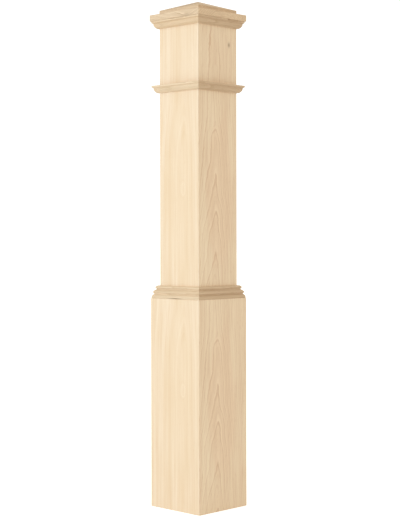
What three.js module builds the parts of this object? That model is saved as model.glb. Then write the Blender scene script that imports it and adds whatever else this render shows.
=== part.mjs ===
// Box newel post: a hollow square shaft of four mitred boards, a wider sleeve around its foot, three
// mitred mouldings and a two-piece cap with a low pyramid. Millimetres, +Z up, origin at the middle of
// the underside. The front of the post faces -Y.
import * as THREE from 'three';

// Boards
const BOARD = 19;
const SHAFT_HALF = 76.25;
const SHAFT_HEIGHT = 1362;
const SLEEVE_HEIGHT = 587.5;
const SLEEVE_TOP_ROUND = 3;

// Every outer corner where two mitred pieces meet is eased to this radius, in this many steps a piece
const EASE = 1.25;
const EASE_STEPS = 2;

// Step moulding: three shingled beads, each with a short upright nose and a slope swelling over it, and
// a 45 degree undercut down to the narrow quirk between two beads. Reach is out from the shaft's face.
const STEP_HEIGHT = 35;
const STEP_TOP_REACH = 4.25;
const STEP_BEADS = [
  { reach: 17.5, noseFoot: 0, noseHead: 2, swell: 0.7 },
  { reach: 15.25, noseFoot: 15.75, noseHead: 16.75, swell: 0.25 },
  { reach: 10, noseFoot: 28.5, noseHead: 29.5, swell: 0.65 },
];
const STEP_QUIRKS = [
  { reach: 12.25, foot: 10.5, head: 12.75 },
  { reach: 7.5, foot: 24, head: 26 },
];

// Neck moulding and bed moulding, cut from one stock: a lip over a quarter-round on a flat soffit. The
// round turns under from about the height of its belly.
const LIPPED_HEIGHT = 20.5;
const LIP_REACH = 16.5;
const LIP_FACE = 4.5;
const LIP_UNDERCUT = 2.25;
const ROUND_REACH = 12.5;
const ROUND_BELLY = 5;
const SOFFIT_REACH = 5;
const NECK_TOP = 1182.5;
const NECK_FOOT = NECK_TOP - LIPPED_HEIGHT;
const BED_FOOT = SHAFT_HEIGHT - LIPPED_HEIGHT;

// Cap
const SLAB_HALF = 96;
const SLAB_THICKNESS = 17.5;
const SLAB_ARRIS = 0.75;
const TOP_HALF = 76.25;
const TOP_EDGE = 12.75;
const TOP_RISE = 25.25;
const TOP_EAVE_ROUND = 2;

const CURVE_STEPS = 6;
const SIDES = ['front', 'right', 'back', 'left'];
const QUARTER_TURN = Math.PI / 2;

const boardWood = new THREE.MeshStandardMaterial({ color: 0xe9d2ac, roughness: 0.62, metalness: 0 });
const mouldingWood = new THREE.MeshStandardMaterial({ color: 0xdcc298, roughness: 0.64, metalness: 0 });
const capWood = new THREE.MeshStandardMaterial({ color: 0xdfc59c, roughness: 0.64, metalness: 0 });

// One side of a square plan runs through these stations, from the middle of one eased corner to the
// middle of the next. planPoint gives the front side's, which start at its right-hand corner.
const SIDE_STATIONS = 2 * EASE_STEPS + 1;

function planPoint(half, station) {
  const fromCorner = Math.min(station, SIDE_STATIONS - station);
  const angle = (1 - fromCorner / EASE_STEPS) * (Math.PI / 4);
  const ease = Math.min(EASE, half);
  const side = station <= EASE_STEPS ? 1 : -1;
  return {
    x: side * (half - ease + ease * Math.sin(angle)),
    y: -(half - ease + ease * Math.cos(angle)),
  };
}

// An upright board on the front of a square tube, mitred along both edges. The heights, from 0 up, part
// its faces where other pieces meet them.
function uprightBoard(innerHalf, heights) {
  const plan = new THREE.Shape();
  for (let station = 0; station <= SIDE_STATIONS; station += 1) {
    const { x, y } = planPoint(innerHalf + BOARD, station);
    if (station === 0) plan.moveTo(x, y);
    else plan.lineTo(x, y);
  }
  plan.lineTo(-innerHalf, -innerHalf);
  plan.lineTo(innerHalf, -innerHalf);
  const steps = heights.length - 1;
  const geometry = new THREE.ExtrudeGeometry(plan, { depth: 1, steps, bevelEnabled: false });
  const position = geometry.attributes.position;
  for (let i = 0; i < position.count; i += 1) {
    position.setZ(i, heights[Math.round(position.getZ(i) * steps)]);
  }
  geometry.computeVertexNormals();
  return geometry;
}

// A strip along the front of a square, mitred at both ends. The profile's x is the distance out from
// innerHalf, and its y is the height.
function mitredStrip(profile, innerHalf) {
  const geometry = new THREE.ExtrudeGeometry(profile, {
    depth: 1,
    steps: SIDE_STATIONS,
    curveSegments: CURVE_STEPS,
    bevelEnabled: false,
  });
  const position = geometry.attributes.position;
  for (let i = 0; i < position.count; i += 1) {
    const station = Math.round(position.getZ(i) * SIDE_STATIONS);
    const { x, y } = planPoint(innerHalf + position.getX(i), station);
    position.setXYZ(i, x, y, position.getY(i));
  }
  geometry.computeVertexNormals();
  return geometry;
}

// A solid that is square in plan with eased corners, as a lathe gives a round one. The profile runs
// from the axis to the axis, with x as half the width at the height y.
function squareTurned(profile) {
  const geometry = new THREE.LatheGeometry(profile, 4 * SIDE_STATIONS);
  const position = geometry.attributes.position;
  for (let i = 0; i < position.count; i += 1) {
    const turn = Math.floor(i / profile.length) % (4 * SIDE_STATIONS);
    const station = SIDE_STATIONS - (turn % SIDE_STATIONS);
    const { x, y } = planPoint(profile[i % profile.length].x, station);
    const side = Math.floor(turn / SIDE_STATIONS);
    const [planX, planY] = [[x, y], [-y, x], [-x, -y], [y, -x]][side];
    position.setXYZ(i, planX, planY, profile[i % profile.length].y);
  }
  geometry.computeVertexNormals();
  return geometry;
}

// Four copies of one mitred strip around the post, each its own piece
function frameOf(name, geometry, material) {
  const frame = new THREE.Group();
  SIDES.forEach((side, i) => {
    const piece = new THREE.Mesh(geometry, material);
    piece.name = `${name}_${side}`;
    piece.rotation.z = i * QUARTER_TURN;
    frame.add(piece);
  });
  return frame;
}

// A sleeve board's section, with its top outer edge rounded over
function sleeveProfile() {
  const roundFoot = SLEEVE_HEIGHT - SLEEVE_TOP_ROUND;
  const shape = new THREE.Shape();
  shape.moveTo(0, 0);
  shape.lineTo(BOARD, 0);
  shape.lineTo(BOARD, roundFoot);
  shape.absarc(BOARD - SLEEVE_TOP_ROUND, roundFoot, SLEEVE_TOP_ROUND, 0, QUARTER_TURN, false);
  shape.lineTo(0, SLEEVE_HEIGHT);
  return shape;
}

// A curve from one point up and in to another, swelling towards the corner outside its chord
function swellTo(shape, from, to, swell) {
  const middle = { x: (from.x + to.x) / 2, y: (from.y + to.y) / 2 };
  const controlX = middle.x + swell * (from.x - middle.x);
  const controlY = middle.y + swell * (to.y - middle.y);
  shape.quadraticCurveTo(controlX, controlY, to.x, to.y);
}

function steppedProfile() {
  const shape = new THREE.Shape();
  shape.moveTo(0, 0);
  STEP_BEADS.forEach((bead, i) => {
    const quirk = STEP_QUIRKS[i];
    const above = quirk ? { x: quirk.reach, y: quirk.foot } : { x: STEP_TOP_REACH, y: STEP_HEIGHT };
    shape.lineTo(bead.reach, bead.noseFoot);
    shape.lineTo(bead.reach, bead.noseHead);
    swellTo(shape, { x: bead.reach, y: bead.noseHead }, above, bead.swell);
    if (quirk) shape.lineTo(quirk.reach, quirk.head);
  });
  shape.lineTo(0, STEP_HEIGHT);
  return shape;
}

function lippedProfile() {
  const lipFoot = LIPPED_HEIGHT - LIP_FACE;
  const roundHead = lipFoot - LIP_UNDERCUT;
  const shape = new THREE.Shape();
  shape.moveTo(0, 0);
  shape.lineTo(SOFFIT_REACH, 0);
  shape.quadraticCurveTo(ROUND_REACH, ROUND_BELLY, ROUND_REACH, roundHead);
  shape.lineTo(LIP_REACH, lipFoot);
  shape.lineTo(LIP_REACH, LIPPED_HEIGHT);
  shape.lineTo(0, LIPPED_HEIGHT);
  return shape;
}

function slabProfile() {
  return [
    new THREE.Vector2(0, 0),
    new THREE.Vector2(SLAB_HALF - SLAB_ARRIS, 0),
    new THREE.Vector2(SLAB_HALF, SLAB_ARRIS),
    new THREE.Vector2(SLAB_HALF, SLAB_THICKNESS - SLAB_ARRIS),
    new THREE.Vector2(SLAB_HALF - SLAB_ARRIS, SLAB_THICKNESS),
    new THREE.Vector2(0, SLAB_THICKNESS),
  ];
}

// The block under the pyramid has an upright edge, which is rounded over into the slope
function topProfile() {
  const slope = Math.atan2(TOP_RISE, TOP_HALF);
  const turn = QUARTER_TURN - slope;
  const tangent = TOP_EAVE_ROUND * Math.tan(turn / 2);
  const centre = new THREE.Vector2(TOP_HALF - TOP_EAVE_ROUND, TOP_EDGE - tangent);
  const profile = [new THREE.Vector2(0, 0), new THREE.Vector2(TOP_HALF, 0)];
  for (let i = 0; i <= CURVE_STEPS; i += 1) {
    const angle = (turn * i) / CURVE_STEPS;
    const reach = new THREE.Vector2(Math.cos(angle), Math.sin(angle)).multiplyScalar(TOP_EAVE_ROUND);
    profile.push(centre.clone().add(reach));
  }
  profile.push(new THREE.Vector2(0, TOP_EDGE + TOP_RISE));
  return profile;
}

// Four shaft boards, from the floor to the cap. The mouldings part their faces into plain stretches.
function makeShaft() {
  const stepTop = SLEEVE_HEIGHT + STEP_HEIGHT;
  const heights = [0, SLEEVE_HEIGHT, stepTop, NECK_FOOT, NECK_TOP, BED_FOOT, SHAFT_HEIGHT];
  return frameOf('shaft_board', uprightBoard(SHAFT_HALF - BOARD, heights), boardWood);
}

// Four sleeve boards around the foot of the shaft
function makeSleeve() {
  return frameOf('sleeve_board', mitredStrip(sleeveProfile(), SHAFT_HALF), boardWood);
}

// The step moulding covers the top edges of the sleeve
function makeStepMoulding() {
  const moulding = frameOf('step_moulding', mitredStrip(steppedProfile(), SHAFT_HALF), mouldingWood);
  moulding.position.z = SLEEVE_HEIGHT;
  return moulding;
}

function makeLippedMoulding(name, foot) {
  const moulding = frameOf(name, mitredStrip(lippedProfile(), SHAFT_HALF), mouldingWood);
  moulding.position.z = foot;
  return moulding;
}

// The slab closes the shaft, and the pyramid block sits on it
function makeCap() {
  const slab = new THREE.Mesh(squareTurned(slabProfile()), capWood);
  slab.name = 'cap_slab';
  const top = new THREE.Mesh(squareTurned(topProfile()), capWood);
  top.name = 'cap_top';
  top.position.z = SLAB_THICKNESS;
  const cap = new THREE.Group();
  cap.add(slab, top);
  cap.position.z = SHAFT_HEIGHT;
  return cap;
}

const newelPost = new THREE.Group();
newelPost.name = 'newel_post';
newelPost.add(
  makeShaft(),
  makeSleeve(),
  makeStepMoulding(),
  makeLippedMoulding('neck_moulding', NECK_FOOT),
  makeLippedMoulding('bed_moulding', BED_FOOT),
  makeCap(),
);

export default newelPost;
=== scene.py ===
# A box newel post in bare maple. Metres, +Z up, the front of the post faces -Y.
import math

import bmesh
import bpy
from mathutils import Matrix, Vector


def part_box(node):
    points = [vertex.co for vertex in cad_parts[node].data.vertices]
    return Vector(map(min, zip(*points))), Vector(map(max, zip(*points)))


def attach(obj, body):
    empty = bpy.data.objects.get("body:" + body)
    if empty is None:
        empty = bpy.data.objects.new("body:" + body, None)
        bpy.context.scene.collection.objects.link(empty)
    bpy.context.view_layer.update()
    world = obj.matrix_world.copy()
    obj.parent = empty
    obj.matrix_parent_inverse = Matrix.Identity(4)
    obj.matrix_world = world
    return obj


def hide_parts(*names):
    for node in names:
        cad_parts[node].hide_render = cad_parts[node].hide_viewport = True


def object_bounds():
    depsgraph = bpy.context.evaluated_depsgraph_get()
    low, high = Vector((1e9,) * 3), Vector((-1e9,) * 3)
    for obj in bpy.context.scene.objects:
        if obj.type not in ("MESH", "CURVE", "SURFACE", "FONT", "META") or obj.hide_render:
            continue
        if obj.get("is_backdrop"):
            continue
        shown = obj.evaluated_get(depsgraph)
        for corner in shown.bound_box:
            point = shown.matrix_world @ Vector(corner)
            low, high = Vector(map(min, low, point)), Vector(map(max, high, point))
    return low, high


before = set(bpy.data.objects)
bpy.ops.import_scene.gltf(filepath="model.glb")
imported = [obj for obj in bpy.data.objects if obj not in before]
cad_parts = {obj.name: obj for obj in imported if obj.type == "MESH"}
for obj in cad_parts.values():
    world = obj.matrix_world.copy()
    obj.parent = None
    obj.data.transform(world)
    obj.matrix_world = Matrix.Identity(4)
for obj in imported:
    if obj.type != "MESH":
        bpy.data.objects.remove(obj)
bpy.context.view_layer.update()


# Shaft: four planed maple boards, mitred and glued into a hollow square tube that runs from the floor to
# the cap. Each is plain-sawn, so its growth rings come out on its face as tall arches. The corners were
# sanded after gluing, so the hairline of each mitre runs down the middle of an eased edge.
SIDES = ("front", "right", "back", "left")
BOARD_EASE = 0.00125
EASE_STEPS = 4
MITRE_HAIRLINE = 0.00004
END_ARRIS = 0.0006
ARC_STEPS = 4
ARC_SHARE_OF_EDGE = 0.45
SHARP_TURN = math.radians(28)
FLAT_TO_CURVE = 8


def curve(start, bend, end, steps):
    """The points of a curve from start to end that is drawn towards the point bend."""
    shares = [step / steps for step in range(steps + 1)]
    return [start.lerp(bend, t).lerp(bend.lerp(end, t), t) for t in shares]


def rounded(corners):
    """A closed outline of (half width, height, radius) corners, with each corner rounded over."""
    outline = []
    for i, (half, height, radius) in enumerate(corners):
        corner = Vector((half, height))
        before = Vector(corners[i - 1][:2]) - corner
        after = Vector(corners[(i + 1) % len(corners)][:2]) - corner
        if radius == 0:
            outline.append(corner)
            continue
        tangent = radius / math.tan(before.angle(after) / 2)
        start = corner + before.normalized() * min(tangent, before.length * ARC_SHARE_OF_EDGE)
        end = corner + after.normalized() * min(tangent, after.length * ARC_SHARE_OF_EDGE)
        outline += curve(start, corner, end, ARC_STEPS)
    return outline


def mitred_run(outline, ease):
    """The front run of a square ring with this outline. Each end is cut at 45 degrees in the middle of a
    corner that is eased to a radius."""
    bm = bmesh.new()
    section = [bm.verts.new((point.x, -point.x, point.y)) for point in outline]
    loop = [bm.edges.new((vert, section[i - 1])) for i, vert in enumerate(section)]
    turns = [math.pi / 4 * (1 - step / EASE_STEPS) for step in range(EASE_STEPS + 1)]
    eased = [Vector((math.sin(turn) - 1, 1 - math.cos(turn), 0)) * ease for turn in turns]
    start = eased[0] - Vector((1, 1, 0)).normalized() * MITRE_HAIRLINE
    bmesh.ops.translate(bm, verts=section, vec=start)
    steps = [eased[1] - start] + [b - a for a, b in zip(eased[1:], eased[2:])]

    def carried_on(loop):
        made = bmesh.ops.extrude_edge_only(bm, edges=loop)["geom"]
        loop = [item for item in made if isinstance(item, bmesh.types.BMEdge) and item.is_boundary]
        return loop, [item for item in made if isinstance(item, bmesh.types.BMVert)]

    for step in steps:
        loop, section = carried_on(loop)
        bmesh.ops.translate(bm, verts=section, vec=step)
    loop, section = carried_on(loop)
    bmesh.ops.scale(bm, verts=section, vec=(-1, 1, 1))
    for step in reversed(steps):
        loop, section = carried_on(loop)
        bmesh.ops.translate(bm, verts=section, vec=(step.x, -step.y, 0))
    bmesh.ops.holes_fill(bm, edges=bm.edges, sides=0)
    return bm


def put_in_order(bm):
    """Sorts the faces by their vertices, because an extrusion makes them in an order that changes from
    run to run."""
    bm.verts.index_update()
    in_order = sorted(bm.faces, key=lambda face: sorted(vert.index for vert in face.verts))
    for place, face in enumerate(in_order):
        face.index = place
    bm.faces.sort()


def finished(bm, name, side, material, node):
    """Turns a front piece to its side of the post, and hangs it on the frame in place of the CAD node.
    Its curves shade smooth, and its flats and the corners between them stay crisp."""
    turn = Matrix.Rotation(SIDES.index(side) * math.pi / 2, 3, "Z")
    bmesh.ops.rotate(bm, verts=bm.verts, cent=(0, 0, 0), matrix=turn)
    bmesh.ops.recalc_face_normals(bm, faces=bm.faces)
    put_in_order(bm)
    for face in bm.faces:
        face.smooth = True
    for edge in bm.edges:
        small, large = sorted(face.calc_area() for face in edge.link_faces)
        edge.smooth = edge.calc_face_angle() < SHARP_TURN and large < FLAT_TO_CURVE * small
    mesh = bpy.data.meshes.new(name)
    bm.to_mesh(mesh)
    bm.free()
    mesh.materials.append(material)
    piece = bpy.data.objects.new(name, mesh)
    bpy.context.scene.collection.objects.link(piece)
    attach(piece, "root")
    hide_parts(node)
    return piece


def add(tree, kind, *inputs, **settings):
    """Adds a shader node and gives its first output. Its inputs are linked or set in order, and None
    leaves one as it is."""
    made = tree.nodes.new("ShaderNode" + kind)
    for setting, value in settings.items():
        setattr(made, setting, value)
    for socket, value in zip([s for s in made.inputs if s.enabled], inputs):
        if isinstance(value, bpy.types.NodeSocket):
            tree.links.new(value, socket)
        elif value is not None:
            socket.default_value = value
    return next(socket for socket in made.outputs if socket.enabled)


def sums(tree, operation, *values):
    return add(tree, "Math", *values, operation=operation)


def product(tree, value, *others):
    for other in others:
        value = sums(tree, "MULTIPLY", value, other)
    return value


def plus(tree, value, *shares):
    """The value, plus so much of each of the others, which come as (other, how much) pairs."""
    for other, share in shares:
        value = sums(tree, "MULTIPLY_ADD", other, share, value)
    return value


def ramp(tree, value, start, end, low=0.0, high=1.0):
    """Goes straight from low to high as the value goes from start to end."""
    return add(tree, "MapRange", value, start, end, low, high)


def soft_ramp(tree, value, start, end, low=0.0, high=1.0):
    """A ramp that starts and ends gently."""
    return add(tree, "MapRange", value, start, end, low, high, interpolation_type="SMOOTHSTEP")


def parted(tree, vector):
    axes = tree.nodes.new("ShaderNodeSeparateXYZ")
    tree.links.new(vector, axes.inputs[0])
    return axes.outputs


def drawn_noise(tree, vector, across, along, detail=2.0, roughness=0.5):
    """Noise about 0 that is drawn out along the grain: it has so many waves a metre each way."""
    mapped = add(tree, "Mapping", vector, None, None, (across, across, along))
    noise = add(tree, "TexNoise", mapped, 1.0, detail, roughness)
    return sums(tree, "SUBTRACT", noise, 0.5)


def new_group(name, inputs, outputs):
    tree = bpy.data.node_groups.new(name, "ShaderNodeTree")
    for label, kind, value in inputs:
        socket = tree.interface.new_socket(label, in_out="INPUT", socket_type="NodeSocket" + kind)
        if value is not None:
            socket.default_value = value
    for label, kind in outputs:
        tree.interface.new_socket(label, in_out="OUTPUT", socket_type="NodeSocket" + kind)
    return tree, tree.nodes.new("NodeGroupInput").outputs, tree.nodes.new("NodeGroupOutput").inputs


KNOT_AND_SHADE_BROWN = (0.16, 0.08, 0.035, 1)
LEFT_FLANK = -0.03


def make_maple_group():
    """Maple in its own grain space: Z runs along the grain, and the heart of the tree is near the Z axis.
    Rings are nested cones round the heart, so a face cut beside it shows them as pointed arches. Depth is
    the heart's depth behind that face, so that a ring comes to its point there at Z = 0. Run and Rise are
    how far below and above it the rings go on widening."""
    tree, given, out = new_group(
        "maple",
        [("Vector", "Vector", None), ("Facing", "Vector", None), ("Log", "Float", 0.0),
         ("Ring Spacing", "Float", 0.006), ("Taper", "Float", 0.02), ("Tilt", "Float", 0.0),
         ("Flank", "Float", 0.0), ("Depth", "Float", 0.0), ("Run", "Float", 10.0), ("Rise", "Float", 10.0),
         ("Ripple", "Float", 0.006), ("Line", "Float", 1.0), ("Figure", "Float", 1.0),
         ("Seam", "Float", 0.0), ("End Shade", "Float", 0.2),
         ("Heart Place", "Vector", (0, 0, 0)), ("Heart Size", "Vector", (0.03, 0.03, 1)),
         ("Eye Place", "Vector", (0, 0, 9)), ("Eye Size", "Vector", (0.006, 1, 0.01)),
         ("Eye Lift", "Float", 0.0), ("Knot", "Float", 0.0),
         ("Sapwood", "Color", None), ("Heartwood", "Color", None), ("Latewood", "Color", None)],
        [("Color", "Color"), ("Roughness", "Float"), ("Height", "Float")],
    )
    vector = given["Vector"]
    x, y, z = parted(tree, vector)

    # Each log has a place of its own in the noise
    spot = add(tree, "VectorMath", vector, given["Log"], operation="ADD")

    def near(label):
        """1 at the heart's or the eye's place, and less away from it."""
        off = add(tree, "VectorMath", vector, given[label + " Place"], operation="SUBTRACT")
        off = add(tree, "VectorMath", off, given[label + " Size"], operation="DIVIDE")
        reach = add(tree, "VectorMath", off, off, operation="DOT_PRODUCT")
        return sums(tree, "EXPONENT", product(tree, reach, -1.0))

    # The rings crowd on the flanks of the tree, widen down it to a limit and lean to one side. They
    # ripple, and they swell round an eye or a pin knot.
    ripple = product(tree, drawn_noise(tree, spot, across=22, along=16, detail=3.0), given["Ripple"])
    drift = drawn_noise(tree, spot, across=9, along=6, detail=1.0)
    eye = near("Eye")
    radius = sums(tree, "SQRT", plus(tree, sums(tree, "POWER", x, 2.0), (y, y)))
    right = sums(tree, "POWER", sums(tree, "MAXIMUM", x, 0.0), 2.0)
    past_left = sums(tree, "SUBTRACT", LEFT_FLANK, x)
    left = sums(tree, "POWER", sums(tree, "MAXIMUM", past_left, 0.0), 2.0)
    radius = plus(tree, radius, (sums(tree, "ADD", right, left), given["Flank"]))
    radius = plus(tree, radius, (drift, product(tree, given["Ripple"], 2.0)))
    radius = sums(tree, "SUBTRACT", radius, given["Depth"])
    for part, run in (("MINIMUM", given["Run"]), ("MAXIMUM", given["Rise"])):
        spread = sums(tree, "TANH", sums(tree, "DIVIDE", sums(tree, part, z, 0.0), run))
        radius = plus(tree, radius, (product(tree, spread, run), given["Taper"]))
    radius = plus(tree, radius, (x, given["Tilt"]), (ripple, 1.0), (eye, given["Eye Lift"]))
    count = sums(tree, "DIVIDE", radius, given["Ring Spacing"])

    # A ring is pale at first, darkens, and ends in a thin dark line. Fainter rings lie between the strong.
    through = sums(tree, "FRACT", count)
    darken = soft_ramp(tree, through, 0.04, 0.32)
    line = soft_ramp(tree, through, 0.78, 0.95)
    line_end = soft_ramp(tree, through, 0.96, 1.0, 1.0, 0.0)
    fading = ramp(tree, drawn_noise(tree, spot, across=14, along=7, detail=1.0), -0.2, 0.15, 0.5, 1.0)
    strong = plus(tree, product(tree, darken, 0.4), (line, given["Line"]))
    strong = product(tree, strong, line_end, product(tree, fading, given["Figure"]))
    uneven = add(tree, "TexNoise", count, 1.7, 1.0, noise_dimensions="1D")
    between = sums(tree, "FRACT", product(tree, sums(tree, "ADD", count, uneven), 3.6))
    faint = soft_ramp(tree, between, 0.3, 0.9)
    faint_end = soft_ramp(tree, between, 0.9, 1.0, 1.0, 0.0)
    late = plus(tree, strong, (product(tree, faint, faint_end), 0.3))

    # Over the topmost arch its two sides run together into one wavering line
    aslant = plus(tree, x, (ripple, 0.5), (z, 0.11))
    seam = ramp(tree, sums(tree, "ABSOLUTE", aslant), 0.0006, 0.0022, 1.0, 0.0)
    seam_foot = ramp(tree, z, -0.004, 0.004)
    seam_top = ramp(tree, z, 0.08, 0.12, 1.0, 0.0)
    late = plus(tree, late, (product(tree, seam, seam_foot, seam_top), given["Seam"]))

    # Long bands and streaks, fine fibre, and the odd short fleck
    band = drawn_noise(tree, spot, across=24, along=1.2)
    streak = drawn_noise(tree, spot, across=110, along=3.0, detail=3.0, roughness=0.6)
    fibre = drawn_noise(tree, spot, across=420, along=12, detail=3.0, roughness=0.65)
    fleck = soft_ramp(tree, drawn_noise(tree, spot, across=500, along=60, detail=0.0), 0.2, 0.32)
    tone = plus(tree, 0.15, (late, 0.5), (band, 0.2), (streak, 0.78), (fibre, 0.7), (fleck, 0.25))

    # Heartwood is pinker, and its edge is ragged. End grain is darker than long grain.
    # Where the heart is set over the cap top's pyramid, its heartwood is also painted shade
    heart = soft_ramp(tree, plus(tree, near("Heart"), (streak, 0.4), (band, 0.6)), 0.25, 0.5)
    along_grain = parted(tree, given["Facing"])[2]
    cut_across = ramp(tree, sums(tree, "ABSOLUTE", along_grain), 0.6, 0.9)
    tone = add(tree, "Math", cut_across, given["End Shade"], tone, operation="MULTIPLY_ADD", use_clamp=True)
    wood = add(tree, "Mix", heart, given["Sapwood"], given["Heartwood"], data_type="RGBA")
    wood = add(tree, "Mix", tone, wood, given["Latewood"], data_type="RGBA")
    # Knot darkens towards a brown. It makes a real pin knot on one board and a dark patch on the slab's
    # front, and it paints shade: a joint shadow under the front step strip and on the front slope of the
    # cap top.
    knot = product(tree, sums(tree, "POWER", eye, 3.0), given["Knot"])
    wood = add(tree, "Mix", knot, wood, KNOT_AND_SHADE_BROWN, data_type="RGBA")
    tree.links.new(wood, out["Color"])
    tree.links.new(ramp(tree, tone, 0.0, 1.0, 0.55, 0.7), out["Roughness"])
    tree.links.new(plus(tree, streak, (fibre, 1.0), (late, -0.3)), out["Height"])
    return tree


MAPLE = make_maple_group()
GRAIN_DEPTH = 0.0002
GRAIN_STRENGTH = 0.35
BARE_WOOD_SPECULAR = 0.35


def maple(name, turn, heart, colors, **values):
    """Bare sanded maple. turn takes a place on the post to grain space, and heart is the tree's heart
    there. ring_spacing sets the group's Ring Spacing, and so on."""
    material = bpy.data.materials.new(name)
    material.use_nodes = True
    tree = material.node_tree
    shader = tree.nodes["Principled BSDF"]
    place = tree.nodes.new("ShaderNodeTexCoord").outputs
    grain = add(tree, "Mapping", place["Object"], tuple(-Vector(heart)), tuple(turn.to_euler()))
    facing = add(tree, "Mapping", place["Normal"], None, tuple(turn.to_euler()))
    wood = tree.nodes.new("ShaderNodeGroup")
    wood.node_tree = MAPLE
    tree.links.new(grain, wood.inputs["Vector"])
    tree.links.new(facing, wood.inputs["Facing"])
    for label, value in {**colors, **values}.items():
        wood.inputs[label.replace("_", " ").title()].default_value = value
    tree.links.new(wood.outputs["Color"], shader.inputs["Base Color"])
    tree.links.new(wood.outputs["Roughness"], shader.inputs["Roughness"])
    raised = tree.nodes.new("ShaderNodeBump")
    raised.inputs["Strength"].default_value = GRAIN_STRENGTH
    raised.inputs["Distance"].default_value = GRAIN_DEPTH
    tree.links.new(wood.outputs["Height"], raised.inputs["Height"])
    tree.links.new(raised.outputs["Normal"], shader.inputs["Normal"])
    shader.inputs["Specular IOR Level"].default_value = BARE_WOOD_SPECULAR
    return material


def upright_turn(side):
    """Grain space for a board on one side of the post: grain up, face towards -Y."""
    return Matrix.Rotation(-SIDES.index(side) * math.pi / 2, 3, "Z")


shaft_half = -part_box("shaft_board_front")[0].y
shaft_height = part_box("shaft_board_front")[1].z
sleeve_half = -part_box("sleeve_board_front")[0].y
hollow_half = shaft_half - (sleeve_half - shaft_half)
shaft_outline = rounded([
    (hollow_half, 0, 0), (shaft_half, 0, END_ARRIS), (shaft_half, shaft_height, 0),
    (hollow_half, shaft_height, 0),
])
# A heart is so far across the board's face and behind it, and its zero is at the height where a strong
# ring ends in a point
SHAFT_HEARTS = {"front": (0.025, 0.008, 1.074), "right": (-0.009, 0.005, 1.062),
                "back": (0.031, 0.012, 0.71), "left": (-0.024, 0.010, 0.93)}
BOARD = dict(sapwood=(0.857, 0.694, 0.487, 1), heartwood=(0.847, 0.659, 0.46, 1),
             latewood=(0.655, 0.445, 0.288, 1))
BOARD_LOGS = {
    "front": dict(log=3.1, ring_spacing=0.040, taper=0.158, run=0.07, rise=0.07, tilt=0.45, flank=4.0,
                  line=0.0, ripple=0.002, figure=1.3, sapwood=(0.842, 0.665, 0.480, 1),
                  heartwood=(0.828, 0.645, 0.450, 1), latewood=(0.72, 0.50, 0.285, 1),
                  heart_place=(-0.022, 0, -0.20), heart_size=(0.055, 1, 0.25),
                  eye_place=(-0.008, -0.008, -0.183), eye_size=(0.0085, 1, 0.021), eye_lift=0.024),
    "right": dict(log=2.3, ring_spacing=0.0275, taper=0.25, rise=0.04, tilt=0.22, flank=14.0,
                  ripple=0.022, seam=0.7, heart_place=(0.018, 0, -0.175), heart_size=(0.052, 1, 0.2)),
    "back": dict(log=5.3, ring_spacing=0.025, taper=0.2, tilt=-0.15, flank=8.0, ripple=0.014,
                 figure=0.8, heart_place=(-0.02, 0, -0.1), heart_size=(0.05, 1, 0.3)),
    "left": dict(log=12.9, ring_spacing=0.022, taper=0.12, tilt=0.1, flank=12.0, ripple=0.010,
                 figure=0.6, heart_place=(0.01, 0, -0.2), heart_size=(0.04, 1, 0.3)),
}
PIN_KNOT = dict(eye_place=(0.054, -0.005, 0.231), eye_size=(0.007, 1, 0.011), eye_lift=0.003, knot=0.6)


def board_maple(name, side, half, hearts, **extra):
    across, depth, height = hearts[side]
    return maple(name, upright_turn(side), (across, depth - half, height), BOARD,
                 **{**BOARD_LOGS[side], "depth": depth, **extra})


for side in SIDES:
    extra = PIN_KNOT if side == "right" else {}
    wood = board_maple(f"shaft_maple_{side}", side, shaft_half, SHAFT_HEARTS, **extra)
    bm = mitred_run(shaft_outline, BOARD_EASE)
    finished(bm, f"{side}_shaft_board", side, wood, f"shaft_board_{side}")


# Sleeve: four more maple boards mitred and glued around the foot of the shaft. Each is the next length
# of the board above it, so it has the same arches. Its top outer edge is rounded over.
SLEEVE_TOP_ROUND = 0.003
SLEEVE_HEARTS = {"front": (0.042, 0.008, 0.519), "right": (-0.022, 0.005, 0.482),
                 "back": (0.012, 0.012, 0.33), "left": (-0.01, 0.010, 0.21)}
sleeve_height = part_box("sleeve_board_front")[1].z
sleeve_outline = rounded([
    (shaft_half, 0, 0), (sleeve_half, 0, END_ARRIS), (sleeve_half, sleeve_height, SLEEVE_TOP_ROUND),
    (shaft_half, sleeve_height, 0),
])
for side in SIDES:
    wood = board_maple(f"sleeve_maple_{side}", side, sleeve_half, SLEEVE_HEARTS)
    bm = mitred_run(sleeve_outline, BOARD_EASE)
    finished(bm, f"{side}_sleeve_board", side, wood, f"sleeve_board_{side}")


# Step moulding: four milled strips mitred around the shaft on top of the sleeve. Three shingled beads
# lie one over another, each undercut to a narrow quirk. The wood is a little browner than the boards.
STEP_TOP_REACH = 0.00425
# A bead's reach out from the shaft, the foot and head of its upright nose, and how much it swells
STEP_BEADS = ((0.0175, 0, 0.002, 0.7), (0.01525, 0.01575, 0.01675, 0.25), (0.01, 0.0285, 0.0295, 0.65))
# A quirk's reach, foot and head
STEP_QUIRKS = ((0.01225, 0.0105, 0.01275), (0.0075, 0.024, 0.026))
SWELL_STEPS = 8
NOSE_ROUND = 0.0004
QUIRK_ROUND = 0.0003
MOULDING_EASE = 0.0004
STRIP_UNDER_HEART = 0.03
STRIP_BEFORE_HEART = 0.05
NEXT_STRIP = 1.7
LIGHT_STRIP = dict(sapwood=(0.775, 0.588, 0.392, 1), heartwood=(0.735, 0.535, 0.335, 1),
                   latewood=(0.56, 0.385, 0.22, 1))
BROWN_STRIP = dict(sapwood=(0.67, 0.497, 0.325, 1), heartwood=(0.60, 0.43, 0.27, 1),
                   latewood=(0.48, 0.32, 0.19, 1))
STRIPS = {"front": LIGHT_STRIP, "right": BROWN_STRIP, "back": LIGHT_STRIP, "left": BROWN_STRIP}


def swell(start, end, amount):
    """The points inside a curve up and in from start to end that swells towards its outer corner."""
    middle = start.lerp(end, 0.5)
    outer = middle + Vector((start.x - middle.x, end.y - middle.y)) * amount
    return curve(start, outer, end, SWELL_STEPS)[1:-1]


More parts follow.
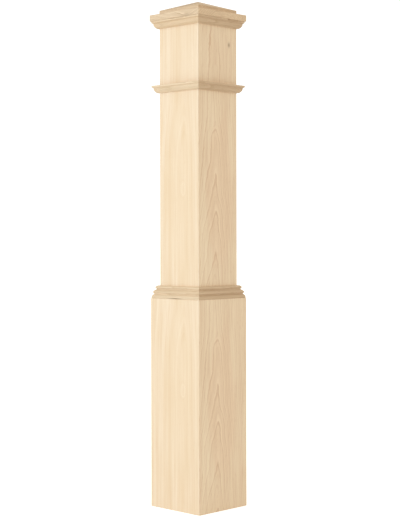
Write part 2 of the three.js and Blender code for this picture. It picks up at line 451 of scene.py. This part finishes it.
def lengthwise_turn(side):
    """Grain space for a strip on one side of the post: grain along the strip."""
    along = Matrix(((0, 0, 1), (0, 1, 0), (-1, 0, 0)))
    return along @ upright_turn(side)


def strip_maple(name, side, foot, log, **extra):
    """Each strip is ripped from another place in the log, well away from the heart."""
    heart = (foot + STRIP_UNDER_HEART, STRIP_BEFORE_HEART - shaft_half, 0)
    values = {"log": log + NEXT_STRIP * SIDES.index(side), **extra}
    return maple(name, lengthwise_turn(side), heart, STRIPS[side], **values)


# A painted shadow of an open joint shows as a dark line under part of the front strip, and the lowest
# bead of the right one is browner
DARK_FOOT = dict(heart_place=(-0.025, -0.067, 0), heart_size=(0.009, 0.012, 1))
JOINT_GAP_SHADOW = dict(eye_place=(-0.03, -0.067, -0.003), eye_size=(0.003, 1, 0.04), knot=1.0)
step_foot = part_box("step_moulding_front")[0].z
step_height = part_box("step_moulding_front")[1].z - step_foot
step_corners = [(0, 0, 0)]
for i, (reach, nose_foot, nose_head, swelling) in enumerate(STEP_BEADS):
    above = STEP_QUIRKS[i][:2] if i < len(STEP_QUIRKS) else (STEP_TOP_REACH, step_height)
    step_corners += [(reach, nose_foot, NOSE_ROUND), (reach, nose_head, NOSE_ROUND)]
    step_corners += [(p.x, p.y, 0) for p in swell(Vector((reach, nose_head)), Vector(above), swelling)]
    step_corners.append((*above, QUIRK_ROUND))
    if i < len(STEP_QUIRKS):
        step_corners.append((STEP_QUIRKS[i][0], STEP_QUIRKS[i][2], QUIRK_ROUND))
step_corners.append((0, step_height, 0))
step_outline = [p + Vector((shaft_half, step_foot)) for p in rounded(step_corners)]
for side in SIDES:
    # The front strip carries a painted shadow line along its foot
    extra = {"front": JOINT_GAP_SHADOW, "right": DARK_FOOT}.get(side, {})
    wood = strip_maple(f"step_maple_{side}", side, step_foot, log=20, **extra)
    bm = mitred_run(step_outline, MOULDING_EASE)
    finished(bm, f"{side}_step_moulding", side, wood, f"step_moulding_{side}")


# Neck moulding and bed moulding: eight strips cut from one milled stock, a lip over a quarter-round.
# Four are mitred around the shaft as a necking, and four fill the angle under the cap slab.
LIP_REACH = 0.0165
LIP_FACE = 0.0045
LIP_UNDERCUT = 0.00225
ROUND_REACH = 0.0125
ROUND_BELLY = 0.005
ROUND_STEPS = 12
SOFFIT_REACH = 0.005


def lipped_outline(foot, top):
    height = top - foot
    lip_foot = height - LIP_FACE
    round_foot = Vector((SOFFIT_REACH, 0))
    round_head = Vector((ROUND_REACH, lip_foot - LIP_UNDERCUT))
    belly = Vector((ROUND_REACH, ROUND_BELLY))
    corners = [(0, 0, 0)] + [(p.x, p.y, 0) for p in curve(round_foot, belly, round_head, ROUND_STEPS)]
    corners += [(LIP_REACH, lip_foot, NOSE_ROUND), (LIP_REACH, height, NOSE_ROUND), (0, height, 0)]
    return [p + Vector((shaft_half, foot)) for p in rounded(corners)]


# Two of the neck strips are the brownest. The lip of each bed strip is pale sapwood over a browner round,
# and its paleness is partly painted light against the shade under the slab.
BROWN_NECK = dict(sapwood=(0.645, 0.47, 0.302, 1))
NECK_TONES = {"right": BROWN_NECK, "left": BROWN_NECK}
BED_ROUND = dict(heart_place=(-0.022, -0.062, 0), heart_size=(0.009, 0.02, 1))
# The bed lips' raised sapwood is painted light against the shade under the slab
PALE_BED_PAINTED_LIGHT = dict(sapwood=(0.83, 0.64, 0.43, 1), heartwood=(0.718, 0.513, 0.318, 1), **BED_ROUND)
BROWN_BED_PAINTED_LIGHT = dict(sapwood=(0.80, 0.635, 0.435, 1), heartwood=(0.63, 0.455, 0.288, 1), **BED_ROUND)
BED_TONES_AND_PAINTED_LIGHT = {"front": PALE_BED_PAINTED_LIGHT, "right": BROWN_BED_PAINTED_LIGHT, "back": PALE_BED_PAINTED_LIGHT, "left": BROWN_BED_PAINTED_LIGHT}
for name, log, tones in (("neck", 30, NECK_TONES), ("bed", 40, BED_TONES_AND_PAINTED_LIGHT)):
    low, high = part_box(f"{name}_moulding_front")
    for side in SIDES:
        wood = strip_maple(f"{name}_maple_{side}", side, low.z, log, **tones.get(side, {}))
        bm = mitred_run(lipped_outline(low.z, high.z), MOULDING_EASE)
        finished(bm, f"{side}_{name}_moulding", side, wood, f"{name}_moulding_{side}")


# Cap slab: one board, planed square and laid on the ends of the shaft boards with its grain from left
# to right, so that its right and left edges are end grain. Its front edge has a small dark patch along its
# foot, with the rings wavy round it.
# It was sawn well outside the heart, so the rings are streaks along its edges.
SLAB_ARRIS = 0.00075
SLAB_ARRIS_STEPS = 3
SLAB_HEART_UNDER = 0.07
SLAB_ZERO_ALONG = 0.044
CAP_BOARD = dict(sapwood=(0.81, 0.61, 0.40, 1), heartwood=(0.69, 0.51, 0.32, 1),
                 latewood=(0.54, 0.37, 0.225, 1))
CAP_TURN = Matrix(((0, 1, 0), (0, 0, 1), (1, 0, 0)))


def square_block(low, high):
    """A plain block that fills the box from its low corner to its high one."""
    bm = bmesh.new()
    bmesh.ops.create_cube(bm, size=1)
    bmesh.ops.scale(bm, vec=high - low, verts=bm.verts)
    bmesh.ops.translate(bm, vec=(low + high) / 2, verts=bm.verts)
    return bm


def ease_edges(bm, chosen, offset, steps):
    bmesh.ops.bevel(bm, geom=[e for e in bm.edges if chosen(e)], offset=offset, segments=steps,
                    profile=0.5, affect="EDGES", material=-1)


slab_low, slab_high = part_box("cap_slab")
slab = square_block(slab_low, slab_high)
ease_edges(slab, lambda edge: True, SLAB_ARRIS, SLAB_ARRIS_STEPS)
slab_wood = maple("slab_maple", CAP_TURN, (0, slab_low.z - SLAB_HEART_UNDER, SLAB_ZERO_ALONG), CAP_BOARD,
                  log=50, line=0.4, ripple=0.014, figure=2.0, end_shade=0.0,
                  eye_place=(-0.096, 0.0725, 0.006), eye_size=(0.02, 0.006, 0.036), eye_lift=0.004,
                  knot=0.3)
finished(slab, "slab", "front", slab_wood, "cap_slab")


# Cap top: a thick square block with a low pyramid planed on it, glued on with its grain the same way.
# The pyramid is browner than the block's edges. This is partly browner wood and partly painted shade on
# its upward slopes and just under the eaves. A faint dark patch in its front half is painted shade on the
# front slope. The eaves are rounded over.
TOP_EDGE = 0.01275
EAVE_TANGENT = 0.00145
EAVE_STEPS = 6
TOP_HEART_UNDER = 0.05
top_low, top_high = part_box("cap_top")
eave = top_low.z + TOP_EDGE
top = square_block(top_low, Vector((top_high.x, top_high.y, eave)))
upper = next(face for face in top.faces if face.normal.z > 0.5)
apex = bmesh.ops.poke(top, faces=[upper])["verts"]
bmesh.ops.translate(top, verts=apex, vec=(0, 0, top_high.z - eave))
ease_edges(top, lambda edge: all(abs(v.co.z - eave) < 1e-6 for v in edge.verts), EAVE_TANGENT, EAVE_STEPS)
# The heartwood over the pyramid and the dark eye on its front slope are painted shade as well as wood
top_wood = maple("top_maple", CAP_TURN, (0, top_low.z - TOP_HEART_UNDER, 0), CAP_BOARD,
                 log=60, line=0.5, ripple=0.008, figure=1.4, end_shade=0.17,
                 heart_place=(0, TOP_EDGE + 0.0615, 0), heart_size=(1, 0.0155, 1),
                 eye_place=(-0.05, TOP_EDGE + 0.058, -0.01), eye_size=(0.07, 0.022, 0.09), knot=0.15)
finished(top, "pyramid_top", "front", top_wood, "cap_top")


# Studio: a plain white floor, a large soft light from the front left at the post's own height, and a pale
# room all round. The floor is open under the post and clear from below, so that the underside can be seen.
FLOOR_HALF = 40
FLOOR_GLOW = 0.45
floor_bm = bmesh.new()
bmesh.ops.create_grid(floor_bm, x_segments=1, y_segments=1, size=FLOOR_HALF)
under_post = list(floor_bm.faces)
bmesh.ops.inset_region(floor_bm, faces=under_post, thickness=FLOOR_HALF - sleeve_half + BOARD_EASE,
                       use_boundary=True, use_even_offset=True)
bmesh.ops.delete(floor_bm, geom=under_post, context="FACES")
floor_mesh = bpy.data.meshes.new("floor")
floor_bm.to_mesh(floor_mesh)
floor_bm.free()
floor = bpy.data.objects.new("floor", floor_mesh)
bpy.context.scene.collection.objects.link(floor)
floor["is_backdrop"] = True
floor_paint = bpy.data.materials.new("floor_paint")
floor_paint.use_nodes = True
paint = floor_paint.node_tree
floor_shader = paint.nodes["Principled BSDF"]
floor_shader.inputs["Base Color"].default_value = (0.95, 0.95, 0.95, 1)
floor_shader.inputs["Roughness"].default_value = 0.9
floor_shader.inputs["Specular IOR Level"].default_value = 0.1
floor_shader.inputs["Emission Color"].default_value = (1, 1, 1, 1)
to_camera = paint.nodes.new("ShaderNodeLightPath").outputs["Is Camera Ray"]
paint.links.new(product(paint, to_camera, FLOOR_GLOW), floor_shader.inputs["Emission Strength"])
from_below = paint.nodes.new("ShaderNodeNewGeometry").outputs["Backfacing"]
clear = paint.nodes.new("ShaderNodeBsdfTransparent").outputs[0]
one_sided = add(paint, "MixShader", from_below, floor_shader.outputs[0], clear)
paint.links.new(one_sided, paint.nodes["Material Output"].inputs["Surface"])
floor_mesh.materials.append(floor_paint)

WALLS = (1.12, 1.10, 1.04, 1)
CEILING = (0.80, 0.775, 0.70, 1)
BACKDROP = (1.2, 1.2, 1.2, 1)
world = bpy.data.worlds.new("pale_room")
bpy.context.scene.world = world
world.use_nodes = True
room = world.node_tree
direction = parted(room, room.nodes.new("ShaderNodeTexCoord").outputs["Generated"])
walls_to_ceiling = add(room, "Mix", direction[2], WALLS, CEILING, data_type="RGBA")
seen = room.nodes.new("ShaderNodeLightPath").outputs["Is Camera Ray"]
shade = add(room, "Mix", seen, walls_to_ceiling, BACKDROP, data_type="RGBA")
room.links.new(shade, room.nodes["Background"].inputs["Color"])

# Azimuth 0 is straight in front, and 90 is to the right
LIGHT_AZIMUTH = -5
LIGHT_DISTANCE = 4.0
LIGHT_HEIGHT = 1.1
LIGHT_AIM_HEIGHT = 0.7
LIGHT_SIZE = 2.5
LIGHT_POWER = 72
LIGHT_COLOR = (0.54, 0.755, 1.0)
soft_box = bpy.data.lights.new("key", "AREA")
soft_box.shape = "SQUARE"
soft_box.size = LIGHT_SIZE
soft_box.energy = LIGHT_POWER
soft_box.color = LIGHT_COLOR
light = bpy.data.objects.new("key", soft_box)
light_turn = math.radians(LIGHT_AZIMUTH)
towards_light = Vector((math.sin(light_turn), -math.cos(light_turn), 0))
light.location = towards_light * LIGHT_DISTANCE + Vector((0, 0, LIGHT_HEIGHT))
aim = Vector((0, 0, LIGHT_AIM_HEIGHT)) - light.location
light.rotation_mode = "QUATERNION"
light.rotation_quaternion = aim.to_track_quat("-Z", "Y")
bpy.context.scene.collection.objects.link(light)

# Camera: level with the middle of the post, square on to its front right corner
CAMERA_AZIMUTH = 44.45
CAMERA_DISTANCE = 3.679
CAMERA_ASIDE = 0.0042
CAMERA_HEIGHT = 0.769
CAMERA_DIP = 0.0197
CAMERA_ROLL = -0.0022
CAMERA_LENS = 90.9
camera = bpy.data.objects.new("camera", bpy.data.cameras.new("camera"))
bpy.context.scene.collection.objects.link(camera)
bpy.context.scene.camera = camera
camera.data.lens = CAMERA_LENS
camera_turn = math.radians(CAMERA_AZIMUTH)
outward = Vector((math.sin(camera_turn), -math.cos(camera_turn), 0))
rightward = Vector((math.cos(camera_turn), math.sin(camera_turn), 0))
camera.location = outward * CAMERA_DISTANCE + rightward * CAMERA_ASIDE + Vector((0, 0, CAMERA_HEIGHT))
camera.rotation_mode = "QUATERNION"
look = Matrix.Rotation(camera_turn, 4, "Z") @ Matrix.Rotation(math.pi / 2 - CAMERA_DIP, 4, "X")
camera.rotation_quaternion = (look @ Matrix.Rotation(CAMERA_ROLL, 4, "Z")).to_quaternion()

bpy.context.scene.view_settings.view_transform = "Standard"

low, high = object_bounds()
